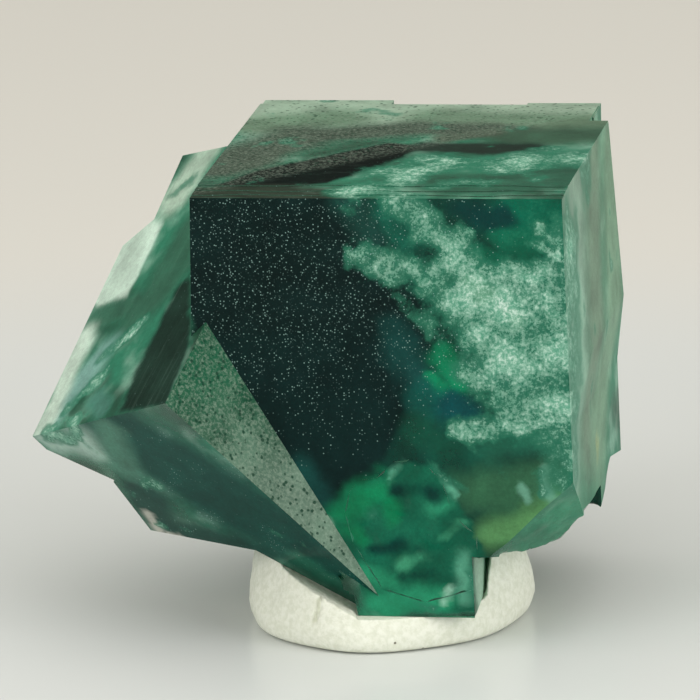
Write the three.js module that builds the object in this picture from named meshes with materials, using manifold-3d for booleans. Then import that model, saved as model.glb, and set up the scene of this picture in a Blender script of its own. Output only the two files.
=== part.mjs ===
// Green fluorite standing in a lump of display putty. A large cube, a second cube grown through it in twin
// position and a small block at the foot are one solid. Millimetres, +Z up, +Y away from the viewer.
// Places are measured from the top front left corner of the large cube, until the finished group is moved
// so that its origin is the middle of its base.
import * as THREE from "three";
import { ConvexGeometry } from "three/addons/geometries/ConvexGeometry.js";
import { mergeVertices } from "three/addons/utils/BufferGeometryUtils.js";
import Module from "manifold-3d";

const wasm = await Module();
wasm.setup();

// Large cube
const CUBE_WIDTH = 28.5;
const CUBE_DEPTH = 30.4;
const CUBE_HEIGHT = 28.5;
const TOP_LEAN = 0.011;
const TOP_CLIMB = 0.006;
const SIDE_SKEW = 0.026;
const RIGHT_FLARE = 0.025;
const TERRACE_RISE = 0.07;
const TERRACE_STARTS = [0.8, 1.9, 3.3];
const TERRACE_WAVER = 0.35;
const BACK_PLATE_LEFT = { from: 0.9, to: 11.2, reach: 1.8, foot: -19 };
const BACK_PLATE_RIGHT = { from: 22, to: 27.8, reach: 0.9, foot: -12 };
const NOTCH_DEPTH = 1.5;
const NOTCH_START = 25.1;
const BULGE_START = 0.3;
const BULGE_FULL = 8.5;
const BULGE_HEIGHT = 19.2;
const BULGE_REACH = 0.65;
const BULGE_CREST = 13.4;

// Broken surfaces of the large cube: a point on each, the way it faces, its size and its relief
const CUBE_BREAKS = [
  // lower front right corner, gone along a cleavage
  { at: [25.3, 2.8, -28], out: [1, -0.95, -1], width: 22, length: 22, relief: 0.22, seed: 2, cell: 1.1 },
  // underside
  { at: [14, 16, -28], out: [0.03, 0.02, -1], width: 40, length: 42, relief: 0.5, seed: 5, cell: 1.9 },
  // chips along the lower right edge
  { at: [28.5, 9.2, -26.7], out: [1, -0.05, -0.75], width: 7, length: 9, relief: 0.2, seed: 1, thickness: 5 },
  { at: [28.9, 20, -27], out: [1, 0.12, -0.32], width: 4, length: 24, relief: 0.16, seed: 7, thickness: 5 },
  // lower back edge
  { at: [14.5, 29.7, -26.4], out: [0.2, 1, -1], width: 26, length: 9, relief: 0.5, seed: 8, thickness: 8 },
];

// Twin cube, in its own axes: x down to the right, y to the left and back, z up and back
const TWIN_CORNER = new THREE.Vector3(-1.4, -5.3, -14.77);
const TWIN_AXIS = new THREE.Vector3(-1, 1, 1).normalize();
const TWIN_TURN = THREE.MathUtils.degToRad(60);
const TWIN_X = 26;
const TWIN_Y = 19.1;
const TWIN_Z = 26.1;
const TWIN_END_LEAN = 0.09;
const TWIN_HEAD_LEAN = 0.07;
const TWIN_FOOT_LEAN = 0.1;
const TWIN_STEP = { y: 20.6, z: 19.1, back: 4, lean: 0.13 };
const TWIN_BELOW_TOP = 0.5;
// Its lower edge is broken off beyond two planes that meet in a hollow line; they lean in along z
const TWIN_BREAK_BEND = [16.2, 7.5, 0];
const TWIN_BREAK_SLOPE = 0.25;
const TWIN_BREAK_DEPTH = 24;
// Chips beside the far tip: a point and the way the chip faces, with its reach in x and z
const TWIN_CHIPS = [
  { at: [1, 19.6, 0], out: [0.66, 0.755, -0.28], x: [-2, 6.2], z: [-3, 20] },
  { at: [9.3, 16.4, 0], out: [-0.3, 0.95, -0.18], x: [5.9, 30], z: [-3, 20] },
];

// Block at the foot
const FOOT_LEFT = 12.3;
const FOOT_RIGHT = 21.3;
const FOOT_DEPTH = 8.6;
const FOOT_BOTTOM = -32.75;
const FOOT_TOP = -24;
const HEEL = { back: 3.2, low: 0.6, high: 3.2 };
// The broken patch on its front: the outline in x and z, the depth and the relief
const SCAR_RIM = [
  [21.6, -26.2], [20.2, -25], [19.6, -23.9], [19, -22], [18, -20.9], [16.9, -20.2], [15.2, -20.5],
  [13.9, -21.8], [12.5, -22], [11.8, -22.9], [11.4, -24.6], [12, -27], [14.2, -30.6], [17.5, -31.6],
  [21.6, -30.4],
];
const SCAR_DEEP = 3;
const SCAR = {
  at: [16.5, 0.45, -26], out: [0, -1, 0.02], width: 13, length: 15, relief: 0.3, seed: 4, cell: 0.9,
};

// Putty
const PUTTY_CENTRE = new THREE.Vector2(13.1, 10.2);
const PUTTY_RADIUS = new THREE.Vector2(11, 11.9);
const PUTTY_HEIGHT = 8.4;
const PUTTY_SLANT = 1.7;
const PUTTY_WALL = [
  [0, 0], [0.93, 0], [0.98, 0.06], [1, 0.18], [0.985, 0.36], [0.96, 0.55], [0.925, 0.74],
  [0.87, 0.88], [0.78, 0.97], [0.62, 1], [0, 1],
];
const FLOOR = -35.5;
const GAP = 0.35;
const FRONT_ROOM = 9;
const FRONT_SLOPE = 0.9;
const ROOM = 60;

const INSIDE_TOLERANCE = 1e-4;
const point = (x, y, z) => new THREE.Vector3(x, y, z);
const face = (on, out) => new THREE.Plane().setFromNormalAndCoplanarPoint(out.clone().normalize(), on);

// The point where three faces cross, or nothing where they run side by side
function crossing(a, b, c) {
  const spread = new THREE.Matrix3().set(...a.normal, ...b.normal, ...c.normal);
  if (Math.abs(spread.determinant()) < INSIDE_TOLERANCE) return null;
  return point(-a.constant, -b.constant, -c.constant).applyMatrix3(spread.invert());
}

// The corners of the space behind all the faces, each face moved outwards by a margin
function corners(faces, margin = 0) {
  const moved = faces.map((f) => new THREE.Plane(f.normal, f.constant - margin));
  const found = [];
  moved.forEach((a, i) =>
    moved.slice(i + 1).forEach((b, j) =>
      moved.slice(i + j + 2).forEach((c) => {
        const at = crossing(a, b, c);
        if (at && moved.every((f) => f.distanceToPoint(at) < INSIDE_TOLERANCE)) found.push(at);
      })
    )
  );
  return found;
}

// A closed geometry as a solid that can be joined and cut
function solid(geometry) {
  const bare = geometry.clone();
  bare.deleteAttribute("normal");
  bare.deleteAttribute("uv");
  const merged = mergeVertices(bare, INSIDE_TOLERANCE);
  return new wasm.Manifold(
    new wasm.Mesh({
      numProp: 3,
      vertProperties: new Float32Array(merged.attributes.position.array),
      triVerts: new Uint32Array(merged.index.array),
    })
  );
}

const crystal = (faces, margin) => solid(new ConvexGeometry(corners(faces, margin)));
const join = (solids) => solids.reduce((whole, next) => whole.add(next));
const cut = (whole, tools) => tools.reduce((left, tool) => left.subtract(tool), whole);

function box(low, high) {
  const X = point(1, 0, 0);
  const Y = point(0, 1, 0);
  const Z = point(0, 0, 1);
  return [
    face(low, X.clone().negate()), face(low, Y.clone().negate()), face(low, Z.clone().negate()),
    face(high, X), face(high, Y), face(high, Z),
  ];
}

// Smooth made-up unevenness between about -1 and 1
function unevenness(u, v, seed) {
  const broad = Math.sin(0.42 * u + 1.7 * seed) * Math.cos(0.37 * v - 0.9 * seed);
  const middle = Math.sin(0.95 * u - 0.8 * v + 2.3 * seed);
  const fine = Math.cos(1.9 * u + 1.4 * v - seed) * Math.sin(2.2 * v + 0.6 * seed);
  return 0.55 * broad + 0.3 * middle + 0.15 * fine;
}

// A cutting tool with one broken-looking face through a point; everything on the outer side goes
function fracture({ at, out, width, length, relief, seed, cell = 1.1, thickness = 14 }) {
  const across = Math.round(width / cell);
  const along = Math.round(length / cell);
  const tool = new THREE.BoxGeometry(width, length, thickness, across, along, 1);
  tool.translate(0, 0, thickness / 2);
  const places = tool.attributes.position;
  for (let i = 0; i < places.count; i++) {
    if (places.getZ(i) > thickness / 2) continue;
    places.setZ(i, relief * unevenness(places.getX(i), places.getY(i), seed));
  }
  const turn = new THREE.Quaternion().setFromUnitVectors(point(0, 0, 1), point(...out).normalize());
  tool.applyQuaternion(turn).translate(...at);
  return solid(tool);
}

const twinTurn = new THREE.Quaternion().setFromAxisAngle(TWIN_AXIS, TWIN_TURN);
const twinPlace = new THREE.Matrix4().compose(TWIN_CORNER, twinTurn, point(1, 1, 1));
const twinFootNormal = point(-TWIN_FOOT_LEAN, 0.01, -1);
const topNormal = point(-TOP_LEAN, -TOP_CLIMB, 1);

// The six faces of the large cube, each slightly out of true, and the lower face of the twin, where it ends
function cubeFaces({ back = CUBE_DEPTH, inset = 0, rise = 0 } = {}) {
  return [
    face(point(0, 0, 0), point(0, -1, 0)),
    face(point(0, 0, rise), topNormal),
    face(point(0, 0, 0), point(-1, SIDE_SKEW, 0.013)),
    face(point(CUBE_WIDTH - inset, 0, 0), point(1, -SIDE_SKEW, RIGHT_FLARE)),
    face(point(0, back, 0), point(0.012, 1, 0)),
    face(point(0, 0, -CUBE_HEIGHT), point(0, 0, -1)),
    face(TWIN_CORNER, twinFootNormal.clone().applyQuaternion(twinTurn)),
  ];
}

// A thin layer on the top that starts some way from the front edge, along an uneven line
function terrace(start, level) {
  const steps = 16;
  const past = 2;
  const outline = new THREE.Shape();
  outline.moveTo(-past, CUBE_DEPTH + past);
  for (let i = 0; i <= steps; i++) {
    const x = THREE.MathUtils.lerp(-past, CUBE_WIDTH + past, i / steps);
    outline.lineTo(x, start + TERRACE_WAVER * unevenness(1.3 * x, 3 * level, 4 + level));
  }
  outline.lineTo(CUBE_WIDTH + past, CUBE_DEPTH + past);
  const layer = new THREE.ExtrudeGeometry(outline, { depth: 1 + TERRACE_RISE * level, bevelEnabled: false });
  layer.translate(0, 0, -1);
  const tilt = new THREE.Quaternion().setFromUnitVectors(point(0, 0, 1), topNormal.clone().normalize());
  layer.applyQuaternion(tilt);
  return solid(layer);
}

// Plates on the back, which leave a shallow bay between them
function backPlate({ from, to, reach, foot }) {
  const faces = box(point(from, CUBE_DEPTH - 4, foot), point(to, CUBE_DEPTH + reach, 1));
  faces[5] = face(point(0, 0, TERRACE_RISE), topNormal);
  faces[2] = face(point(from, CUBE_DEPTH + reach, foot), point(0, 0.5, -1));
  return crystal(faces);
}

// The right side swells out behind its front edge, most of all a little above its lower end
function rightBulge() {
  const side = CUBE_WIDTH + SIDE_SKEW * BULGE_FULL;
  const crest = point(side + BULGE_REACH + RIGHT_FLARE * BULGE_CREST, BULGE_FULL, -BULGE_CREST);
  const ramp = BULGE_REACH / (BULGE_FULL - BULGE_START);
  return crystal([
    face(point(side - BULGE_FULL, 0, 0), point(-1, 0, 0)),
    face(point(0, BULGE_START, 0), point(0, -1, 0)),
    face(crest, point(1, -SIDE_SKEW - ramp, RIGHT_FLARE)),
    face(point(0, NOTCH_START, 0), point(0, 1, 0)),
    face(point(0, 0, 0), topNormal),
    face(crest, point(1, -SIDE_SKEW, (BULGE_REACH + RIGHT_FLARE * BULGE_CREST) / BULGE_CREST)),
    face(crest, point(1, -SIDE_SKEW, -BULGE_REACH / (BULGE_HEIGHT - BULGE_CREST))),
    face(point(0, 0, -BULGE_HEIGHT), point(0, 0, -1)),
  ]);
}

function largeCube() {
  const body = (rise) =>
    crystal(cubeFaces({ back: NOTCH_START, rise })).add(crystal(cubeFaces({ inset: NOTCH_DEPTH, rise })));
  const layers = join(TERRACE_STARTS.map((start, level) => terrace(start, level + 1))).intersect(body(1));
  const plates = [BACK_PLATE_LEFT, BACK_PLATE_RIGHT].map(backPlate);
  return cut(join([body(0), layers, ...plates, rightBulge()]), CUBE_BREAKS.map(fracture));
}

// A cutting block in the twin's axes: beyond the given faces, as far as x and z reach
function beyond(faces, [lowX, highX], [lowZ, highZ], margin = 0) {
  const inner = faces.map(([on, out]) => face(point(...on), point(...out).negate()));
  const limits = box(point(lowX, 0, lowZ), point(highX, ROOM, highZ));
  return crystal([...inner, ...limits], -margin);
}

function twinBreak(margin, slope = TWIN_BREAK_SLOPE) {
  const planes = [[0.91, 0.41, -slope], [0.54, 0.84, -slope]].map((out) => [TWIN_BREAK_BEND, out]);
  return beyond(planes, [-2, ROOM], [-14, TWIN_BREAK_DEPTH], margin);
}

function twinFaces({ foot = 0, head = TWIN_Z, end = TWIN_Y, endLean = TWIN_END_LEAN } = {}) {
  return [
    face(point(0, 0, 0), point(-1, 0, 0)),
    face(point(0, 0, 0), point(-0.05, -1, 0.03)),
    face(point(0, 0, foot), twinFootNormal),
    face(point(TWIN_X, 0, 0), point(1, 0, 0)),
    face(point(0, end, 0), point(0, 1, -endLean)),
    face(point(0, 0, head), point(0, -TWIN_HEAD_LEAN, 1)),
  ];
}

// The twin ends in a low step, and it stops below the top of the large cube
function twinCube() {
  const { y, z, back, lean } = TWIN_STEP;
  const lower = crystal([...twinFaces(), face(point(0, y, z), point(0, 0.56, 0.83))]);
  const upper = crystal(twinFaces({ end: TWIN_Y - back, endLean: lean }));
  const chips = TWIN_CHIPS.map((chip) => beyond([[chip.at, chip.out]], chip.x, chip.z));
  const broken = cut(join([lower, upper]), [twinBreak(), ...chips]);
  const above = crystal(box(point(-ROOM, -ROOM, -TWIN_BELOW_TOP), point(ROOM, ROOM, ROOM)));
  return broken.transform(twinPlace.elements).subtract(above);
}

function footFaces() {
  return [
    face(point(FOOT_LEFT, 0, FOOT_BOTTOM), point(-1, 0, -0.2)),
    face(point(0, 0, 0), point(0, -1, 0)),
    face(point(0, 0, FOOT_TOP), point(0, 0, 1)),
    face(point(FOOT_RIGHT, 0, FOOT_BOTTOM), point(1, -0.02, 0.03)),
    face(point(0, FOOT_DEPTH, 0), point(0, 1, 0)),
    face(point(0, 0, FOOT_BOTTOM), point(0, 0.12, -1)),
    face(point(0, FOOT_DEPTH - HEEL.back, FOOT_BOTTOM + HEEL.low), point(0, 1, -1)),
    face(point(0, FOOT_DEPTH, FOOT_BOTTOM + HEEL.high), point(0, 1, -0.2)),
  ];
}

function scar() {
  const column = new THREE.ExtrudeGeometry(
    new THREE.Shape(SCAR_RIM.map(([x, z]) => new THREE.Vector2(x, z))),
    { depth: 2 * SCAR_DEEP, bevelEnabled: false }
  );
  column.rotateX(Math.PI / 2).translate(0, SCAR_DEEP, 0);
  return fracture(SCAR).intersect(solid(column));
}

const below = (level) => crystal(box(point(-ROOM, -ROOM, level - ROOM), point(ROOM, ROOM, level)));

function fluorite() {
  return cut(join([largeCube(), twinCube(), crystal(footFaces())]), [scar(), below(FOOT_BOTTOM)]);
}

// A pressed lump: an uneven round wall that leans back a little as it rises from its flat foot
function puttyLump() {
  const lump = new THREE.LatheGeometry(PUTTY_WALL.map(([r, h]) => new THREE.Vector2(r, h)), 48);
  lump.rotateX(Math.PI / 2);
  const places = lump.attributes.position;
  for (let i = 0; i < places.count; i++) {
    const x = places.getX(i);
    const y = places.getY(i);
    const height = Math.max(places.getZ(i), 0);
    const round = Math.atan2(y, x);
    const swell = 1 + 0.018 * Math.sin(3 * round + 1) + 0.012 * Math.sin(7 * round + 5 * height);
    const slump = 1 + 0.02 * Math.sin(5 * round) * Math.hypot(x, y);
    places.setXYZ(
      i,
      PUTTY_CENTRE.x + PUTTY_RADIUS.x * x * swell,
      PUTTY_CENTRE.y + PUTTY_RADIUS.y * y * swell + PUTTY_SLANT * height,
      FLOOR + PUTTY_HEIGHT * height * slump
    );
  }
  return solid(lump);
}

// The room that the crystal takes up in the putty, with a little air all round.
// No putty stands in front of the crystal.
function socket() {
  const twin = crystal(twinFaces(), GAP).subtract(twinBreak(GAP));
  const frontOfTwin = crystal(twinFaces({ foot: -FRONT_ROOM, head: 0 }))
    .subtract(twinBreak(GAP, FRONT_SLOPE));
  const twinRoom = twin.add(frontOfTwin).transform(twinPlace.elements).subtract(below(FOOT_BOTTOM - GAP));
  const frontOfFoot = crystal(
    box(point(FOOT_LEFT, -FRONT_ROOM, FOOT_BOTTOM), point(FOOT_RIGHT, 1, FOOT_TOP)), GAP
  );
  return join([twinRoom, frontOfFoot, crystal(cubeFaces(), GAP), crystal(footFaces(), GAP)]);
}

function mesh(name, shape, look) {
  const { vertProperties, triVerts } = shape.getMesh();
  const geometry = new THREE.BufferGeometry();
  geometry.setAttribute("position", new THREE.BufferAttribute(vertProperties, 3));
  geometry.setIndex(new THREE.BufferAttribute(triVerts, 1));
  const flat = geometry.toNonIndexed();
  flat.computeVertexNormals();
  const piece = new THREE.Mesh(flat, new THREE.MeshStandardMaterial(look));
  piece.name = name;
  return piece;
}

const specimen = new THREE.Group();
specimen.add(mesh("fluorite", fluorite(), { color: 0x1c6b52, roughness: 0.25, metalness: 0 }));
specimen.add(
  mesh("putty_base", puttyLump().subtract(socket()), { color: 0xdfe1cf, roughness: 0.8, metalness: 0 })
);

const extent = new THREE.Box3().setFromObject(specimen);
const middle = extent.getCenter(new THREE.Vector3());
specimen.children.forEach((piece) => piece.position.set(-middle.x, -middle.y, -extent.min.z));

export default specimen;
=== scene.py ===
# Looks of a green fluorite specimen in its putty base: materials, fine relief, light, floor and camera.
# The painted zones are placed in millimetres from the top front left corner of the large cube.
import math

import bmesh
import bpy
import numpy as np
from mathutils import Matrix, Quaternion, Vector, noise
from mathutils.bvhtree import BVHTree


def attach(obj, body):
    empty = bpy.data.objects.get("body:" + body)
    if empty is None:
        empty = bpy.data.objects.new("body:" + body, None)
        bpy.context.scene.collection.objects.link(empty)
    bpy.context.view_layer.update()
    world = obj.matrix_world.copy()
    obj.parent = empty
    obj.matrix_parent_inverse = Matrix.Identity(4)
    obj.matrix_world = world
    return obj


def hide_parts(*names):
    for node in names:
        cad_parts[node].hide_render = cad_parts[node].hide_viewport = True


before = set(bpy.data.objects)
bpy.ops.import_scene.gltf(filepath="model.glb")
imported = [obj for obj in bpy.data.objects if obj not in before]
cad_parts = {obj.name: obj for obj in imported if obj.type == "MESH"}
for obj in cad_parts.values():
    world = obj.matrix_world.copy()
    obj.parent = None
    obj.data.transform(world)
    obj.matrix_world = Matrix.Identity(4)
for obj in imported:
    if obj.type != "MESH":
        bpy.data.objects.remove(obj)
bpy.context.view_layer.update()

# Where the top front left corner of the large cube lies in the row frame, in millimetres
CORNER = Vector((-8.028, -14.390, 35.5))
MM = 0.001

# The turn from the large cube to its twin
TWIN_TURN = Quaternion(Vector((-1, 1, 1)).normalized(), math.radians(60))

# Camera: turned to the right of the front face, looking down, with a slight roll; its place is in metres
CAMERA_TURN = math.radians(8.5)
CAMERA_TILT = math.radians(14.4)
CAMERA_ROLL = math.radians(1.2)
CAMERA_AT = Vector((0.10444, -0.68609, 0.19815))
CAMERA_CLIP = (0.01, 20)
SENSOR = 36.0
LENS = 473.9

# Studio, in metres: the floor and its three tones, the sky from low to high, and the lights
FLOOR_RADIUS = 2.5
FLOOR_CORNERS = 96
FLOOR_NEAR = (224, 227, 226)
FLOOR_MIDDLE = (233, 231, 225)
FLOOR_FAR = (248, 247, 243)
NEAR_TO_MIDDLE = (0.07, 0.125)
MIDDLE_TO_FAR = (0.14, 0.8)
FLOOR_ROUGHNESS = 0.25
FLOOR_REFLECTS = 0.3
SKY = (236, 232, 220)
SKY_RISE = (0.3, 0.7)
SKY_STRENGTH = (0.05, 1.0)
LIGHT_AIM = Vector((0, 0, 0.018))
# Each square light: name, place, width and power
LIGHTS = [
    ("softbox_right", (0.42, -0.2, 0.14), 0.28, 1.15),
    ("softbox_top", (0, -0.05, 0.6), 0.9, 1.9),
    ("softbox_left", (-0.34, -0.42, 0.2), 0.36, 1.4),
]
MOST_BOUNCES = 9
CLEAR_BOUNCES = 8

# Fluorite: how it bends light, soaks it up and mirrors it, and how rough its smooth and worn parts are
IOR = 1.434
ABSORBS = (0.1, 0.76, 0.66, 1.0)
ABSORPTION = 210.0
REFLECTS = 0.05
SMOOTH_ROUGHNESS = 0.14
WORN_ROUGHNESS = 0.6

# Noises in the materials: size in millimetres, detail and roughness
GRAIN_NOISE = (0.7, 5.0, 0.66)
GRIT_NOISE = (0.26, 4.0, 0.72)
LINE_NOISE = (1.0, 3.0, 0.7)
PUTTY_NOISE = (0.5, 5.0, 0.65)
# Sizes of the cells that hold specks, pits and dirt in millimetres, and the height of the bumps in metres
SPECK_SIZE = 0.19
PIT_SIZE = 0.42
DIRT_SPACING = 2.2
BUMP_STRENGTH = 0.4
CRYSTAL_BUMP = 0.00006
PUTTY_BUMP = 0.0002

# Colours of the crystal's body, haze, milk, painted glints, wear and the painted shade in its pits, as
# ordinary 0-255 values
BODY_GREEN = (60, 150, 118)
BODY_PALE = (150, 205, 180)
STEP_GREY = (66, 98, 82)
BRIGHT_GREEN = (24, 86, 60)
BRIGHT_GREY = (104, 132, 114)
SOFT_HAZE = (58, 140, 112)
HAZE = (44, 122, 96)
MILK_GREEN = (104, 166, 140)
MILK_PALE = (168, 206, 186)
CRUMB_WHITE = (214, 232, 222)
LINE_DARK = (20, 44, 36)
LINE_PALE = (160, 196, 178)
# Painted glints: white specks where tiny pits and particles catch the light
GLINT_SPECK_GREY = (140, 176, 168)
CHALK = (150, 166, 150)
# Painted shade: the dark green inside pits that mirror away from the light
PIT_SHADE_GREEN = (14, 60, 42)
PUTTY_SHADE = (222, 225, 207)
PUTTY_LIGHT = (237, 239, 225)
DIRT = (96, 92, 72)

# Material of the crystal: each range is where an effect sets in and where it is full, then its strengths
LINES_DARKEN = (0.02, 0.5, 0.0, 0.5)
LINES_LIGHTEN = (-0.02, -0.6, 0.0, 0.3)
HAZE_RANGE = (0.12, 0.6)
MILK_RANGE = (0.45, 1.25)
MILK_PALES = (-0.2, 0.25)
WHITE_RANGE = (1.2, 2.0)
SPECK_EDGE = (0.08, 0.36, 1.0, 0.0)
SPECK_BRIGHTNESS = (0.2, 1.0, 0.15, 0.9)
PIT_PICK = (0.25, 0.5)
PIT_EDGE = (0.16, 0.36, 1.0, 0.0)
CHALK_RANGE = (0.42, 0.68)
LINE_WEAR = (0.0, 0.4)
# How much the grit frays the haze, the milk and the crumbs, and how fully each covers
CRUMBS_IN_GRIT = 0.55
FINE_IN_GRIT = 0.75
GRIT_SHADES = 0.45
GRIT_IN_HAZE = 0.45
GRIT_IN_MILK = 0.85
GRIT_IN_WHITE = 1.7
HAZE_COVERS = 0.75
MILK_COVERS = 0.85
WHITE_COVERS = 0.75
CHALK_COVERS = 0.5
PIT_SHADE_COVERS = 0.85
# How clear the crystal stays under haze, milk and painted glints
HAZE_CLEAR = 0.3
MILK_CLEAR = 0.05
GLINT_CLEAR = 0.1
# How sharply the painted glints thin out, how ragged the pits are, and the share of each in the bumps
GLINTS_THIN = 0.2
PITS_RAGGED = 0.5
GRAIN_RAISES = 0.4
PITS_RAISE = -0.8
LINES_RAISE = 0.5
# Material of the putty: its grain, and which cells hold a speck of dirt and how large
PUTTY_GRAIN = (0.35, 0.65)
PUTTY_ROUGHNESS = 0.85
DIRT_PICK = (0.8, 0.82)
DIRT_EDGE = (0.03, 0.06, 1.0, 0.0)

# Noises that shape the paint: size in millimetres and seed
DRIFT_SIZE = 3.4
DRIFT_SEEDS = (11, 21, 31)
FRAY_SIZE = 0.9
FRAY_SEEDS = (41, 51, 61)
BROAD_SIZE = 5.5
BROAD_SEED = 71
PATCH_SIZE = 2.0
PATCH_SEED = 81
# How far they move the edges of zones and of milk, in millimetres, and how much they vary the shade
ZONE_DRIFT = 0.75
ZONE_FRAY = 0.3
ZONE_VARIES = 0.35
MILK_DRIFT = 1.1
MILK_FRAY = 0.65
MILK_VARIES = 0.55
# The body: where it pales, and its clearness at least and what is added at most
BODY_PALES = (-0.1, 0.7)
BODY_CLEARS = (-0.3, 0.4)
BODY_CLEAR = 0.45
BODY_CLEAR_MORE = 0.45
# The risers of the low terraces on the top: how they face, how far back and how low they lie
STEP_FACING = -0.9
STEP_BACK = 0.2
STEP_LOW = -1.5
# Milk on the hidden sides, and the soft haze round all milk
MILK_THIN = (0, 0.4)
HIDDEN_BEHIND = 3
HIDDEN_MILK = 0.95
HIDDEN_PATCHES = (0.15, 0.9)
HIDDEN_STRETCHES = (-0.3, 0.3)
SOFT_HAZE_RANGE = (0.2, 0.8)
SOFT_HAZE_COVERS = 0.5
SOFT_HAZE_CLEAR = 0.2
# The bright face of the twin: how far back it reaches, and from where down it turns grey
BRIGHT_BACK = 0.4
BRIGHT_GREYS = (14, 24)
BRIGHT_RAGGED = 1.5
BRIGHT_VARIES = 0.3
BRIGHT_CLEAR = 0.15
# Painted glints on the front face, as lines with a width and a thickness, and painted glints elsewhere
GLINT_LINES = [((3, 0, -4), (10, 0, -5), 11, 1), ((12, 0, -4), (20, 0, -12), 3.4, 0.8)]
GLINT_LINES_SOFT = 0.8
GLINT_LEAST = 0.05
GLINT_ELSEWHERE = 0.12
LOWER_DASHES = 0.75
DASHES_RANGE = (0.0, 0.6)
# Growth lines and pits: their strength on each side, and how the lines are stretched along x, y and z
TOP_LINES = (16, 2)
TOP_LINED = 0.5
TOP_LINED_LEAST = 0.15
UPPER_LINED = 0.55
RIGHT_LINED = 0.25
TOP_PITTED = 0.8
PITTED_SLANT = 0.95
PITTED_EDGE = (-0.5, 1.5)
GROWTH_TOP = (0.3, 1.2, 1.2)
GROWTH_RIGHT = (1, 2.8, 0.2)
GROWTH_TWIN = (0, 2.4, 0.12)

# Putty lump: centre, radii and height in millimetres, and its wall as radius and height shares
FLOOR = -35.5
PUTTY_CENTRE = (13.1, 10.2)
PUTTY_RADIUS = (11.0, 11.9)
PUTTY_HEIGHT = 8.4
PUTTY_SLANT = 1.7
PUTTY_WALL = [
    (0, 0), (0.9, 0), (0.965, 0.03), (0.99, 0.11), (1, 0.22), (0.992, 0.36), (0.97, 0.54),
    (0.93, 0.74), (0.87, 0.88), (0.78, 0.97), (0.6, 1), (0, 1),
]
PUTTY_ROUND = 480
PUTTY_RINGS = 150
WALL_SOFTENING = 3
CONTACT = 0.02
# Its swells and slump as shares of the size, its faint ridges, and its thumb marks as depth and fineness
BROAD_SWELL = 0.018
FINE_SWELL = 0.012
SLUMP = 0.02
RIDGES = 0.012
THUMB_MARKS = [(0.16, 0.28), (0.07, 0.8), (0.022, 3.2)]
# How fast the marks fade in with the height share above the floor
MARKS_RISE = 6
# The map of how high the putty may reach, and how far in front of the crystal it stays clear
PUTTY_REACH = 14.0
LIMIT_STEP = 0.12
NO_LIMIT = 100.0
FRONT_SWEEP = 7.0
# A crack in the front of the putty, from its top end to its lower end
CRACK = ((9.5, 0.3, -30.4), (9.0, -0.6, -33.2))
CRACK_DEPTH = 0.6
CRACK_WIDTH = 0.22
CRACK_WANDER = 0.12
CRACK_BENDS = 1.4

# Broken surfaces of the crystal: flats smaller than this many square millimetres, below the top
FLAT_AREA = 1.6
BROKEN_BELOW = 3.0
# The longest edges where the crystal is seen and where it isn't, in millimetres
SEEN_STEP = 0.54
HIDDEN_STEP = 1.1
SEEN_FRONT = -0.2
SEEN_TOP = 0.5
SEEN_RIGHT = 0.9
CUT_ROUNDS = 8
WELD = MM / 500
SHARP = math.radians(40)
# The relief of the broken surfaces: hollows as height and fineness, ripples round a far point
HOLLOWS = [(0.14, 0.7), (0.06, 2.3)]
RIPPLE = 5.2
RIPPLE_ROUND = Vector((22, -20, 5))
RIPPLE_HEIGHT = 0.03
RIPPLE_BENDS = 0.4
RELIEF_RINGS = 5
SMOOTH_ROUNDS = 3
# The hollow in the front of the foot is shallower than in the solid
SCAR_X = (11.0, 21.8)
SCAR_Z = (-33.6, -19.0)
SCAR_DEEP = 1.3
SCAR_SHALLOW = 0.03

# Which way each painted side of the crystal faces, and how close to that a facet must be to take its paint
SIDES = {
    "front": (0, -1, 0), "top": (0, 0, 1), "right": (1, 0, 0),
    "upper": (-0.67, -0.33, 0.67), "lower": (-0.4, -0.69, -0.6), "bright": (0.64, -0.66, 0.39),
    "any": (0, 0, 0),
}
SIDE_MATCH = 0.955
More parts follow.
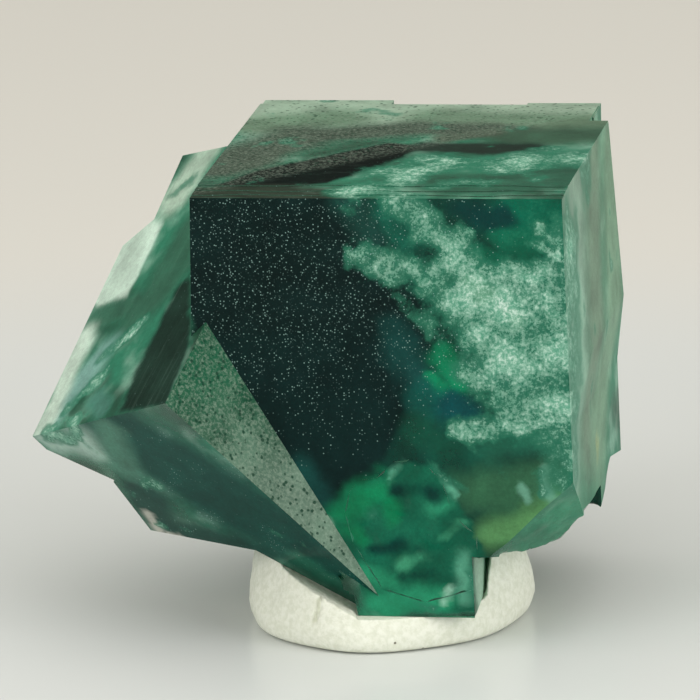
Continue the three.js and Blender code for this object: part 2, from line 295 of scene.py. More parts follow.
# Zones of colour, the later over the earlier: each has the side it lies on, its colour, how clear it is, how
# soft its edge is, and the lines it follows (start, end and width in millimetres) or its corners.
ZONES = [
    # broken flanks below
    dict(side="any", colour=(66, 142, 110), clear=0.35, soft=0.6, lines=[
        ((27.5, 1, -26), (29.4, 12, -23), 4.5),
    ]),
    dict(side="any", colour=(34, 76, 66), clear=0.2, soft=0.5, lines=[
        ((-5, 6, -25.5), (-3.5, 7.5, -28.5), 2.4), ((-3, 7, -28.6), (4, 4, -29.6), 2.2),
    ]),
    dict(side="any", colour=(160, 194, 172), clear=0.15, soft=0.4, lines=[
        ((21.9, 2, -24), (21.9, 4, -33), 2.4),
    ]),
    # front: dark green all over, nearly black on the left
    dict(side="front", colour=(2, 61, 50), clear=0.3, soft=1.2, corners=[
        (11.2, 0, 1.6), (29.9, 0, 1.8), (30.2, 0, -28), (15.5, 0, -31.4), (8.1, 0, -17.3),
    ]),
    dict(side="front", colour=(11, 32, 31), clear=0.08, soft=0.7, corners=[
        (-5.3, 0, 2.1), (12, 0, 2.3), (19.6, 0, -11.6), (0.5, 0, -11.9),
    ]),
    dict(side="front", colour=(10, 33, 32), clear=0.08, soft=0.5, corners=[
        (-5.6, 0, -10.4), (19.3, 0, -10.4), (16.9, 0, -15.6), (16.6, 0, -20.2), (11, 0, -24.5),
        (7.9, 0, -26.8), (-5.7, 0, -11.2),
    ]),
    dict(side="front", colour=(19, 65, 61), clear=0.12, soft=0.8, lines=[
        ((15.3, 0, -10.1), (17.8, 0, -15.2), 1.1), ((8, 0, -21.3), (10.3, 0, -23.6), 1.1),
    ]),
    # front: deep windows and darker clouds of colour round the milk
    dict(side="front", colour=(15, 63, 56), clear=0.3, soft=0.7, lines=[
        ((12.5, 0, -0.4), (13.9, 0, -3.1), 1.2),
    ]),
    dict(side="front", colour=(12, 102, 83), clear=0.35, soft=0.6, lines=[
        ((14.9, 0, -0.6), (17, 0, -2.7), 1.2),
    ]),
    dict(side="front", colour=(0, 102, 78), clear=0.3, soft=0.5, lines=[
        ((25.3, 0, -0.7), (27.4, 0, -1.6), 2.5),
    ]),
    dict(side="front", colour=(0, 54, 52), clear=0.25, soft=0.6, lines=[
        ((20.9, 0, -0.3), (23.6, 0, -1.5), 1.1), ((23.6, 0, -0.3), (24.1, 0, -0.9), 0.8),
    ]),
    dict(side="front", colour=(0, 107, 80), clear=0.35, soft=0.5, lines=[
        ((24.1, 0, -2.9), (25.5, 0, -3.7), 1.1), ((21.4, 0, -4.7), (23.7, 0, -4.7), 0.9),
    ]),
    dict(side="front", colour=(5, 131, 89), clear=0.3, soft=0.5, lines=[
        ((19.1, 0, -12.4), (20.2, 0, -14.1), 1), ((18.2, 0, -14.1), (18.9, 0, -14.9), 0.6),
    ]),
    dict(side="front", colour=(5, 85, 76), clear=0.3, soft=0.6, lines=[
        ((17.7, 0, -15.6), (19.4, 0, -16.2), 1.2),
    ]),
    dict(side="front", colour=(2, 69, 72), clear=0.25, soft=0.55, lines=[
        ((19.8, 0, -15.8), (21.5, 0, -16.4), 1), ((23.6, 0, -13.6), (25.1, 0, -13.9), 0.7),
    ]),
    dict(side="front", colour=(5, 78, 61), clear=0.35, soft=0.7, lines=[
        ((17.6, 0, -18.1), (20.4, 0, -19.9), 1.5), ((19.4, 0, -21.1), (21.1, 0, -21.3), 1.4),
    ]),
    dict(side="front", colour=(28, 102, 80), clear=0.35, soft=0.6, lines=[
        ((22.8, 0, -19.3), (28.5, 0, -18.2), 1.3),
    ]),
    dict(side="front", colour=(52, 107, 76), clear=0.35, soft=0.6, lines=[
        ((21.1, 0, -22.8), (28, 0, -21.7), 1.7),
    ]),
    dict(side="front", colour=(94, 153, 96), clear=0.25, soft=0.7, lines=[
        ((22.9, 0, -26.4), (28.3, 0, -24.2), 1.5), ((27.7, 0, -24.8), (28.5, 0, -23.3), 0.9),
    ]),
    dict(side="front", colour=(34, 137, 102), clear=0.45, soft=0.5, lines=[
        ((29.9, 0, -20.9), (30.3, 0, -22.7), 1.1),
    ]),
    dict(side="front", colour=(107, 166, 140), clear=0.3, soft=0.6, lines=[
        ((27.3, 0, -20.9), (27.7, 0, -23.3), 0.4), ((24.9, 0, -22.2), (25.7, 0, -23.3), 0.4),
    ]),
    dict(side="front", colour=(216, 210, 155), clear=0.2, soft=0.8, lines=[
        ((21.7, 0, -6.6), (22.6, 0, -7.3), 0.7), ((24.2, 0, -8.9), (24.5, 0, -9.3), 0.5),
    ]),
    # foot: emerald block in front with a paler rim and flecks
    dict(side="front", colour=(18, 96, 72), clear=0.2, soft=0.2, corners=[
        (10.2, 0.5, -24.7), (11.8, 0.5, -22.4), (14.5, 0.5, -21.3), (16.3, 0.5, -20.4),
        (18.3, 0.5, -20.8), (19.6, 0.5, -22.6), (22.3, 0.5, -27.6), (22.1, 0.5, -32.4),
        (13.4, 0.5, -32.6),
    ]),
    dict(side="front", colour=(13, 124, 81), clear=0.2, soft=0.6, lines=[
        ((11.6, 0.5, -24.3), (13.8, 0.5, -22.9), 1.3), ((11.3, 0.5, -25.9), (12.5, 0.5, -26.1), 0.7),
        ((15, 0.5, -23.8), (15.4, 0.5, -25.2), 0.6),
    ]),
    dict(side="front", colour=(42, 151, 110), clear=0.2, soft=0.6, lines=[
        ((13.3, 0.5, -31.6), (18.6, 0.5, -31.4), 1.1), ((12.9, 0.5, -29.4), (14.9, 0.5, -30), 0.8),
    ]),
    dict(side="front", colour=(40, 133, 99), clear=0.2, soft=0.6, lines=[
        ((17.9, 0.5, -24.4), (18.7, 0.5, -24), 0.7),
    ]),
    dict(side="front", colour=(3, 54, 47), clear=0.15, soft=0.6, lines=[
        ((15.8, 0.5, -23), (18.1, 0.5, -23.4), 0.7), ((16, 0.5, -21.6), (16.9, 0.5, -21.9), 0.4),
        ((13.4, 0.5, -27), (17.9, 0.5, -27.6), 0.5), ((16, 0.5, -29.7), (18.6, 0.5, -29.6), 0.5),
    ]),
    dict(side="front", colour=(72, 166, 126), clear=0.2, soft=0.6, lines=[
        ((15.8, 0.5, -28.6), (17.9, 0.5, -28), 0.5), ((17.9, 0.5, -28), (19, 0.5, -26.7), 0.5),
        ((19, 0.5, -26.7), (20.1, 0.5, -25.6), 0.5),
    ]),
    dict(side="front", colour=(90, 164, 135), clear=0.2, soft=0.7, lines=[
        ((20.5, 0.5, -28), (20.7, 0.5, -31.3), 0.7), ((14.1, 0.5, -22.6), (16, 0.5, -20.9), 0.3),
        ((16, 0.5, -20.9), (18.4, 0.5, -21.4), 0.4), ((18.4, 0.5, -21.4), (19.6, 0.5, -23.2), 0.3),
    ]),
    dict(side="front", colour=(148, 200, 175), clear=0.2, soft=0.7, lines=[
        ((17.2, 0.5, -20.9), (18.4, 0.5, -21.5), 0.2), ((12.1, 0.5, -32), (12.8, 0.5, -31.3), 0.3),
        ((18.7, 0.5, -31.7), (19.5, 0.5, -30.5), 0.3),
    ]),
    dict(side="front", colour=(24, 193, 193), clear=0.2, soft=0.6, lines=[
        ((16.4, 0.5, -24.9), (16.7, 0.5, -25), 0.1), ((12.6, 0.5, -26.5), (13.1, 0.5, -26.6), 0.1),
    ]),
    # top: pale back, grey-brown middle and dark wedge painted in place of reflection, green front right
    dict(side="top", colour=(168, 191, 170), clear=0.3, soft=0.6, lines=[
        ((-1.4, 28.6, 0.4), (28.9, 27.6, 0.7), 6.2),
    ]),
    dict(side="top", colour=(118, 147, 122), clear=0.35, soft=0.6, lines=[
        ((2, 23.3, 0.4), (7.1, 25.4, 0.5), 3.1), ((15.8, 25.5, 0.6), (28.6, 23.6, 0.7), 3.1),
    ]),
    dict(side="top", colour=(65, 80, 68), clear=0.12, soft=0.5, lines=[
        ((0.6, 8.9, 0.2), (5.6, 19.4, 0.4), 3.8), ((5.6, 19.4, 0.4), (14.7, 22.1, 0.5), 2.6),
        ((14.7, 22.1, 0.5), (22.7, 20.9, 0.6), 2.3),
    ]),
    dict(side="top", colour=(74, 109, 88), clear=0.4, soft=0.6, lines=[
        ((22.9, 18.9, 0.6), (29.3, 20.3, 0.6), 2.8),
    ]),
    # painted reflection: the dark wedge is dark paint standing for a dark reflection in the top
    dict(side="top", colour=(4, 17, 14), clear=0.08, soft=0.5, corners=[
        (1.2, 3.2, 0.2), (4, 8.3, 0.3), (12.8, 17.5, 0.4), (16.2, 16.2, 0.5), (13.6, 9.7, 0.4),
        (10.2, 4, 0.3), (3.8, 0.7, 0.2),
    ]),
    dict(side="top", colour=(36, 53, 45), clear=0.2, soft=0.5, lines=[
        ((16.2, 16.2, 0.5), (21.9, 15, 0.5), 1.7), ((20.8, 15, 0.5), (24.1, 15.7, 0.5), 1.7),
    ]),
    dict(side="top", colour=(82, 97, 82), clear=0.2, soft=0.5, lines=[
        ((17.3, 18.9, 0.5), (20.1, 20.2, 0.5), 1.4),
    ]),
    dict(side="top", colour=(51, 111, 88), clear=0.5, soft=0.5, lines=[
        ((19.7, 3.5, 0.4), (27.6, 6.1, 0.5), 3.1), ((27.7, 6.8, 0.5), (29.2, 12.5, 0.6), 1.5),
    ]),
    dict(side="top", colour=(47, 59, 47), clear=0.2, soft=0.5, lines=[
        ((0.3, 1.3, 0.2), (10.6, 1.1, 0.3), 2),
    ]),
    # right side: pale edge, brown-grey middle, green back
    dict(side="right", colour=(134, 166, 147), clear=0.2, soft=0.7, lines=[
        ((28.6, 7.6, 2.3), (28.9, 4.1, -3.9), 5.8), ((29, 4.6, -4), (29.9, -2.5, -20.2), 5.8),
    ]),
    dict(side="right", colour=(112, 140, 119), clear=0.2, soft=0.7, lines=[
        ((29, 16.3, 0.3), (29.6, 11.3, -10.4), 3.7), ((29.6, 11.8, -10.5), (30.2, 8.1, -19.8), 3.7),
    ]),
    dict(side="right", colour=(123, 161, 134), clear=0.25, soft=0.6, lines=[
        ((29.4, 24.4, -2.4), (30, 20.6, -12.7), 4.3), ((30, 20.6, -12.7), (30.5, 13.2, -22), 3.8),
    ]),
    dict(side="right", colour=(161, 204, 181), clear=0.15, soft=0.7, lines=[
        ((29.2, 2.7, -8.2), (30, -0.7, -20.7), 3.2),
    ]),
    dict(side="right", colour=(200, 200, 125), clear=0.2, soft=0.5, lines=[
        ((30.5, 13, -22.3), (30.6, 12.8, -23.5), 1.1),
    ]),
    # twin, upper face
    dict(side="upper", colour=(183, 208, 188), clear=0.3, soft=0.5, lines=[
        ((-2.4, 22.7, -1.8), (-4.5, 20.8, -4.9), 2.2),
    ]),
    dict(side="upper", colour=(62, 117, 94), clear=0.4, soft=0.5, lines=[
        ((-2.2, 14, -5.9), (-4.2, 10.2, -9.8), 2.6), ((-5, 10.2, -10.6), (-6.6, 9.1, -12.8), 2),
    ]),
    # painted highlight: the whitish band across the upper face
    dict(side="upper", colour=(204, 227, 211), clear=0.25, soft=0.35, corners=[
        (-8, 23.8, -6.8), (-5.3, 18.6, -6.8), (-7.4, 13.5, -11.4), (-10.4, 16.4, -12.9),
        (-12.2, 19.6, -13.1),
    ]),
    dict(side="upper", colour=(66, 121, 98), clear=0.4, soft=0.4, lines=[
        ((-10.5, 15, -13.7), (-6.7, 11.8, -11.5), 1.2),
    ]),
    dict(side="upper", colour=(30, 53, 44), clear=0.12, soft=0.6, corners=[
        (-1.4, 8.6, -7.8), (0, -0.6, -11), (-1.2, -6, -14.9), (-6.4, -0.2, -17.2), (-4.8, 3.5, -13.7),
        (-3.4, 8.1, -10.1),
    ]),
    dict(side="upper", colour=(137, 183, 172), clear=0.3, soft=0.6, lines=[
        ((-8.6, 9.3, -14.6), (-11.8, 7.2, -18.9), 1.5),
    ]),
    dict(side="upper", colour=(206, 227, 211), clear=0.2, soft=0.6, lines=[
        ((-10.9, 13.6, -14.8), (-13.2, 6.9, -20.5), 1.5),
    ]),
    dict(side="upper", colour=(82, 137, 121), clear=0.3, soft=0.6, lines=[
        ((-8.4, 4.3, -17), (-7.4, 1.9, -17.1), 1.2),
    ]),
    # twin, lower face
    dict(side="lower", colour=(18, 71, 62), clear=0.1, soft=0.5, lines=[
        ((-5.3, 1, -19.4), (10.2, -0.3, -28.3), 5.8),
    ]),
    dict(side="lower", colour=(163, 192, 179), clear=0.25, soft=0.7, lines=[
        ((-12.9, 6.7, -20.9), (-8.8, 4.3, -20.8), 1.8),
    ]),
    dict(side="lower", colour=(78, 135, 114), clear=0.3, soft=0.7, lines=[
        ((-6.8, 1.1, -18.5), (-6.4, 4.6, -22.8), 1.5), ((6.1, 4.1, -30.6), (10.9, 2.1, -31.5), 1.2),
    ]),
    dict(side="lower", colour=(41, 112, 91), clear=0.3, soft=0.6, lines=[
        ((7.6, 1.8, -28.9), (10.7, 1.8, -30.9), 1.1),
    ]),
    dict(side="lower", colour=(204, 204, 192), clear=0.3, soft=0.5, lines=[
        ((-5, 7.7, -27.3), (-4.4, 8.5, -28.6), 0.6), ((-3.4, 8.3, -29), (-2.6, 7.8, -29), 0.5),
    ]),
]
# Milky clouds in the crystal: start, end, width and thickness
VEILS = [
    ((15.2, 0, 0.4), (20, 0, -3.8), 1.5, 0.85), ((20.4, 0, -2.4), (21.1, 0, -2.4), 0.5, 1.1),
    ((12.7, 0, -4.5), (15.9, 0, -4.8), 0.8, 0.65), ((15.9, 0, -4.8), (20, 0, -6.1), 1, 0.66),
    ((20, 0, -5.5), (22.6, 0, -7.3), 1.4, 1.1), ((21.4, 0, -7.7), (27.9, 0, -9.9), 2.8, 1.15),
    ((23.5, 0, -5.9), (28.7, 0, -5.2), 1.2, 0.95), ((27.2, 0, -6.8), (28.8, 0, -12.2), 1.5, 1.1),
    ((19.2, 0, -9.1), (21.9, 0, -14.7), 1.2, 0.55), ((21.8, 0, -11.6), (27.8, 0, -13.2), 2.3, 0.95),
    ((23.5, 0, -15.5), (28.6, 0, -15.1), 1.2, 1.0), ((22.3, 0, -17.8), (27.2, 0, -16), 1, 0.9),
    ((21, 0, -17.7), (22.1, 0, -18.5), 0.7, 0.95), ((16, 0, -7.1), (19.5, 0, -11.4), 0.8, 0.55),
    ((23.1, 0, -20.5), (25, 0, -19.5), 0.6, 0.55), ((27, 0, -21.2), (27.4, 0, -23.3), 0.5, 0.6),
    ((26, 0, -3.4), (27.4, 0, -3.7), 0.5, 1.3), ((26.6, 0, -2.3), (27.5, 0, -3), 0.5, 1.2),
    ((12.2, 2.1, 0.3), (16.8, 6.6, 0.4), 1.5, 1.0), ((15.2, 6.6, 0.4), (17.7, 11.1, 0.4), 2.6, 1.05),
    ((16.8, 9.8, 0.4), (22.4, 10.5, 0.5), 2.3, 0.95), ((22.5, 9.9, 0.5), (30, 11.9, 0.6), 2.8, 0.95),
    ((19.4, 4.1, 0.4), (21.5, 6, 0.4), 1.7, 0.6), ((25, 15.1, 0.5), (26.4, 15.7, 0.6), 1.1, 0.55),
    ((-8.4, 9.1, -14.6), (-5.3, 7.8, -12.1), 0.8, 0.9),
    ((-10.9, 6.9, -18.2), (-8.2, 6.7, -15.5), 0.8, 0.7), ((-4.7, 21.6, -4.6), (-3, 21.3, -3.1), 0.8, 0.4),
    ((28.9, 2, -4.1), (29.3, 0.7, -10), 3.4, 0.8), ((29.3, 0.7, -10), (29.8, -1.7, -18.8), 3.4, 0.8),
    ((29.7, 2, -15.9), (30.1, 1.1, -21.1), 1.8, 0.75), ((16.8, 0.5, -20.9), (20, 0.5, -22.3), 0.6, 0.55),
    ((19.6, 0.5, -26.6), (20.9, 0.5, -28.3), 0.5, 0.5), ((21.4, 0.5, -28), (21.2, 0.5, -31.8), 0.5, 0.6),
    ((15.8, 0.5, -31.9), (17.3, 0.5, -32.2), 0.5, 0.6),
    ((12.7, 0.5, -23.7), (13.9, 0.5, -24.6), 0.5, 0.35),
    ((-13.3, 6.5, -20.4), (-10.2, 4.8, -20.5), 0.8, 0.7), ((5.6, 0.8, -26.4), (6.4, 0.7, -26.9), 0.5, 0.8),
    ((7.5, 0.4, -27.3), (8.2, 0.3, -27.5), 0.4, 0.8),
]


def linear(colour):
    """An ordinary 0-255 colour as the renderer wants it."""
    def one(value):
        share = value / 255
        return share / 12.92 if share <= 0.04045 else ((share + 0.055) / 1.055) ** 2.4

    return tuple(one(value) for value in colour) + (1.0,)


def shade(colour):
    """An ordinary 0-255 colour as an array of red, green and blue for the renderer."""
    return np.array(linear(colour)[:3])


class Shader:
    """Adds nodes to one material and returns their outputs."""

    def __init__(self, name):
        self.material = bpy.data.materials.new(name)
        self.material.use_nodes = True
        self.tree = self.material.node_tree
        self.tree.nodes.clear()
        self.output = self.tree.nodes.new("ShaderNodeOutputMaterial")

    def node(self, kind, inputs=None, **settings):
        made = self.tree.nodes.new(kind)
        for name, value in settings.items():
            setattr(made, name, value)
        for key, value in (inputs or {}).items():
            if isinstance(value, bpy.types.NodeSocket):
                self.tree.links.new(value, made.inputs[key])
            else:
                made.inputs[key].default_value = value
        return made

    def surface(self, inputs):
        """Makes the surface shader and joins it to the output."""
        shader = self.node("ShaderNodeBsdfPrincipled", inputs)
        self.tree.links.new(shader.outputs[0], self.output.inputs["Surface"])

    def number(self, operation, first, second=0.0, third=0.0):
        inputs = {0: first, 1: second, 2: third}
        return self.node("ShaderNodeMath", inputs, operation=operation).outputs[0]

    def noise(self, at, size, detail, roughness):
        inputs = {"Vector": at, "Scale": 1 / size, "Detail": detail, "Roughness": roughness}
        return self.node("ShaderNodeTexNoise", inputs).outputs["Fac"]

    def cells(self, at, size):
        return self.node("ShaderNodeTexVoronoi", {"Vector": at, "Scale": 1 / size}).outputs

    def bump(self, height, distance):
        inputs = {"Height": height, "Strength": BUMP_STRENGTH, "Distance": distance}
        return self.node("ShaderNodeBump", inputs).outputs[0]

    def ease(self, value, low, high, start=0.0, end=1.0):
        """A smooth rise from start to end as the value goes from low to high."""
        inputs = {"Value": value, "From Min": low, "From Max": high, "To Min": start, "To Max": end}
        return self.node("ShaderNodeMapRange", inputs, interpolation_type="SMOOTHSTEP").outputs[0]

    def mix(self, under, over, share):
        """Goes from one colour to another."""
        return self.node("ShaderNodeMix", {0: share, 6: under, 7: over}, data_type="RGBA").outputs[2]

    def fade(self, under, over, share):
        """Goes from one number to another."""
        return self.node("ShaderNodeMix", {0: share, 2: under, 3: over}, data_type="FLOAT").outputs[0]

    def add(self, first, second):
        return self.number("ADD", first, second)

    def times(self, first, second):
        return self.number("MULTIPLY", first, second)

    def centred(self, value, reach):
        """Noise between 0 and 1 spread evenly about 0."""
        return self.number("MULTIPLY_ADD", value, 2 * reach, -reach)

    def parts(self, vector):
        return self.node("ShaderNodeSeparateXYZ", {0: vector}).outputs

    def object_point(self):
        return self.node("ShaderNodeTexCoord").outputs["Object"]

    def place(self):
        """The point on the object in millimetres from the large cube's corner."""
        inputs = {0: self.object_point(), 1: (1 / MM,) * 3, 2: -CORNER}
        return self.node("ShaderNodeVectorMath", inputs, operation="MULTIPLY_ADD").outputs[0]


def ease(value, low, high):
    """A smooth rise from 0 to 1 as the value goes from low to high, in either order."""
    share = np.clip((value - low) / (high - low), 0, 1)
    return share * share * (3 - 2 * share)


def lattice_noise(at, seed):
    """Smooth noise from -1 to 1 at each of the points, from mixed-up whole numbers at the cells' corners."""
    cell = np.floor(at).astype(np.int64)
    part = at - cell
    part = part * part * (3 - 2 * part)
    total = np.zeros(len(at))
    for corner in np.ndindex(2, 2, 2):
        mixed = (cell + corner) @ np.array((73856093, 19349663, 83492791)) + seed * 83492791
        mixed = (mixed ^ (mixed >> 13)) * 1274126177
        value = ((mixed ^ (mixed >> 16)) & 0xFFFF) / 0x7FFF - 1
        total += value * np.prod(np.where(corner, part, 1 - part), axis=1)
    return total


def layered_noise(at, size, layers, seed):
    """Noise with finer and finer layers added, each half as strong as the one before."""
    total = 0
    for layer in range(layers):
        total = total + lattice_noise(at * 2**layer / size, seed + layer) / 2**layer
    return total / 1.5


def line_share(at, start, end, width, soft):
    """1 on the line from start to end, fading to 0 past its width."""
    start, along = np.array(start), np.subtract(end, start)
    held = np.clip((at - start) @ along / max(along @ along, 1e-6), 0, 1)
    off = np.linalg.norm(at - start - held[:, None] * along, axis=1)
    return ease(off, width * (1 + soft), width * (1 - soft))


def corner_share(at, corners, facing, soft):
    """1 inside the convex outline and 0 outside it, with a soft edge."""
    middle = np.mean(corners, axis=0)
    inside = np.full(len(at), np.inf)
    for start, end in zip(corners, corners[1:] + corners[:1]):
        inward = np.cross(facing, np.subtract(end, start))
        inward /= np.linalg.norm(inward) * (1 if (middle - start) @ inward > 0 else -1)
        inside = np.minimum(inside, (at - start) @ inward)
    return ease(inside, -soft, soft)


def read_vectors(items, name):
    """A vector of every item, as the rows of an array."""
    flat = np.empty(len(items) * 3)
    items.foreach_get(name, flat)
    return flat.reshape(-1, 3)


def store(mesh, name, kind, field, columns):
    """Keeps numbers for every corner of every face under a name that the material reads."""
    mesh.attributes.new(name, kind, "CORNER").data.foreach_set(field, np.column_stack(columns).ravel())


def paint_noises(points):
    """Two noises that move the edges of the paint, a broad one and a patchy one that vary it."""
    drift = np.stack([layered_noise(points, DRIFT_SIZE, 2, seed) for seed in DRIFT_SEEDS], axis=1)
    fray = np.stack([layered_noise(points, FRAY_SIZE, 2, seed) for seed in FRAY_SEEDS], axis=1)
    broad = layered_noise(points, BROAD_SIZE, 3, BROAD_SEED)
    patchy = layered_noise(points, PATCH_SIZE, 4, PATCH_SEED)
    return drift, fray, broad, patchy


def paint_zones(points, noises, corner, facing):
    """Colour and clearness at every corner: the clear green body with the zones over it."""
    drift, fray, broad, patchy = noises
    warped = points + ZONE_DRIFT * drift + ZONE_FRAY * fray
    pale = ease(patchy[corner], *BODY_PALES)[:, None]
    colour = (1 - pale) * shade(BODY_GREEN) + pale * shade(BODY_PALE)
    clear = BODY_CLEAR + BODY_CLEAR_MORE * ease(broad[corner], *BODY_CLEARS)
    for zone in ZONES:
        way = np.array(SIDES[zone["side"]])
        match = SIDE_MATCH if zone["side"] != "any" else -1
        side = np.flatnonzero(facing @ way > match)
        at = corner[side]
        if "corners" in zone:
            frayed = points[at] + ZONE_FRAY * fray[at]
            share = corner_share(frayed, zone["corners"], way, zone["soft"])
        else:
            share = np.max([line_share(warped[at], *line, zone["soft"]) for line in zone["lines"]], axis=0)
        tint = shade(zone["colour"]) * (1 + ZONE_VARIES * patchy[at])[:, None]
        colour[side] += share[:, None] * (tint - colour[side])
        clear[side] += share * (zone["clear"] - clear[side])
    return colour, clear


def paint_steps(points, facing, colour):
    """The risers of the low terraces along the top's front edge."""
    risers = (facing[:, 1] < STEP_FACING) & (points[:, 1] > STEP_BACK) & (points[:, 2] > STEP_LOW)
    colour[risers] = shade(STEP_GREY)


def paint_milk(points, noises, corner, colour, clear):
    """How thick the milk is at every corner, and how strong the soft haze that it puts into the colour."""
    drift, fray, broad, patchy = noises
    torn = points + MILK_DRIFT * drift + MILK_FRAY * fray
    veil = np.max([line_share(torn, *line[:3], 1.0) * line[3] for line in VEILS], axis=0)
    veil += MILK_VARIES * ease(veil, *MILK_THIN) * patchy
    hidden = HIDDEN_MILK * ease(patchy, *HIDDEN_PATCHES) * ease(broad, *HIDDEN_STRETCHES)
    veil = np.maximum(veil, np.where(points[:, 1] > HIDDEN_BEHIND, hidden, 0))[corner]
    haze = SOFT_HAZE_COVERS * ease(veil, *SOFT_HAZE_RANGE)
    colour += haze[:, None] * (shade(SOFT_HAZE) - colour)
    clear += haze * (SOFT_HAZE_CLEAR - clear)
    return veil, haze


def paint_bright_face(depth, patchy, on_bright, colour, clear):
    """The long triangle of the twin across the front: greener at the top, greyer at the bottom."""
    grey = ease(depth + BRIGHT_RAGGED * patchy, *BRIGHT_GREYS)[:, None]
    bright = (1 - grey) * shade(BRIGHT_GREEN) + grey * shade(BRIGHT_GREY)
    bright *= (1 + BRIGHT_VARIES * patchy)[:, None]
    return np.where(on_bright[:, None], bright, colour), np.where(on_bright, BRIGHT_CLEAR, clear)


def growth_run(points, towards):
    """The points stretched along each side's growth lines, so that noise over them comes out as lines."""
    across = points @ np.array(TWIN_TURN @ Vector((0, 1, 0)))
    run = points @ np.array(TWIN_TURN @ Vector((0, 0, 1)))
    on_twin = np.stack([points[:, 0], across, run], axis=1) * GROWTH_TWIN
    stretched = points * GROWTH_TOP
    stretched[towards["right"]] = (points * GROWTH_RIGHT)[towards["right"]]
    stretched[towards["upper"]] = on_twin[towards["upper"]]
    return stretched


def paint_crystal(mesh):
    """Works out colour, clearness, milk, painted glints, growth lines and pits at every corner of every
    face.
    """
    all_points = read_vectors(mesh.vertices, "co") / MM - np.array(CORNER)
    noises = paint_noises(all_points)
    corner = np.empty(len(mesh.loops), dtype=np.int32)
    mesh.loops.foreach_get("vertex_index", corner)
    facing = np.repeat(read_vectors(mesh.attributes["facing"].data, "vector"), 3, axis=0)
    towards = {name: facing @ np.array(way) > SIDE_MATCH for name, way in SIDES.items()}
    points = all_points[corner]
    x, y, z = points.T
    patchy = noises[3][corner]

    colour, clear = paint_zones(all_points, noises, corner, facing)
    paint_steps(points, facing, colour)
    veil, haze = paint_milk(all_points, noises, corner, colour, clear)
    on_bright = towards["bright"] & (y < BRIGHT_BACK)
    colour, clear = paint_bright_face(-z, patchy, on_bright, colour, clear)

    # Painted glints: white specks, gathered along lines on the front face, thin elsewhere, none on the
    # bright face
    layers = [weight * line_share(all_points, *line, GLINT_LINES_SOFT) for *line, weight in GLINT_LINES]
    thick = np.max(layers, axis=0)[corner]
    glints = np.where(towards["front"], GLINT_LEAST + (1 - GLINT_LEAST) * thick, GLINT_ELSEWHERE) * (1 - haze)
    glints = np.where(on_bright, 0, glints)
    dashes = LOWER_DASHES * ease(patchy, *DASHES_RANGE) * towards["lower"]
    lined = np.where(towards["top"], ease(y, *TOP_LINES) * TOP_LINED + TOP_LINED_LEAST, 0.0)
    lined = np.where(towards["upper"], UPPER_LINED, np.where(towards["right"], RIGHT_LINED, lined))
    worn_top = TOP_PITTED * ease(y - PITTED_SLANT * x, *PITTED_EDGE)
    pitted = np.where(on_bright, 1.0, np.where(towards["top"], worn_top, 0.0))

    store(mesh, "tone", "FLOAT_COLOR", "color", [np.clip(colour, 0, 1), clear])
    store(mesh, "marks", "FLOAT_COLOR", "color", [veil, glints + dashes, pitted, lined])
    store(mesh, "growth", "FLOAT_VECTOR", "vector", [growth_run(points, towards)])


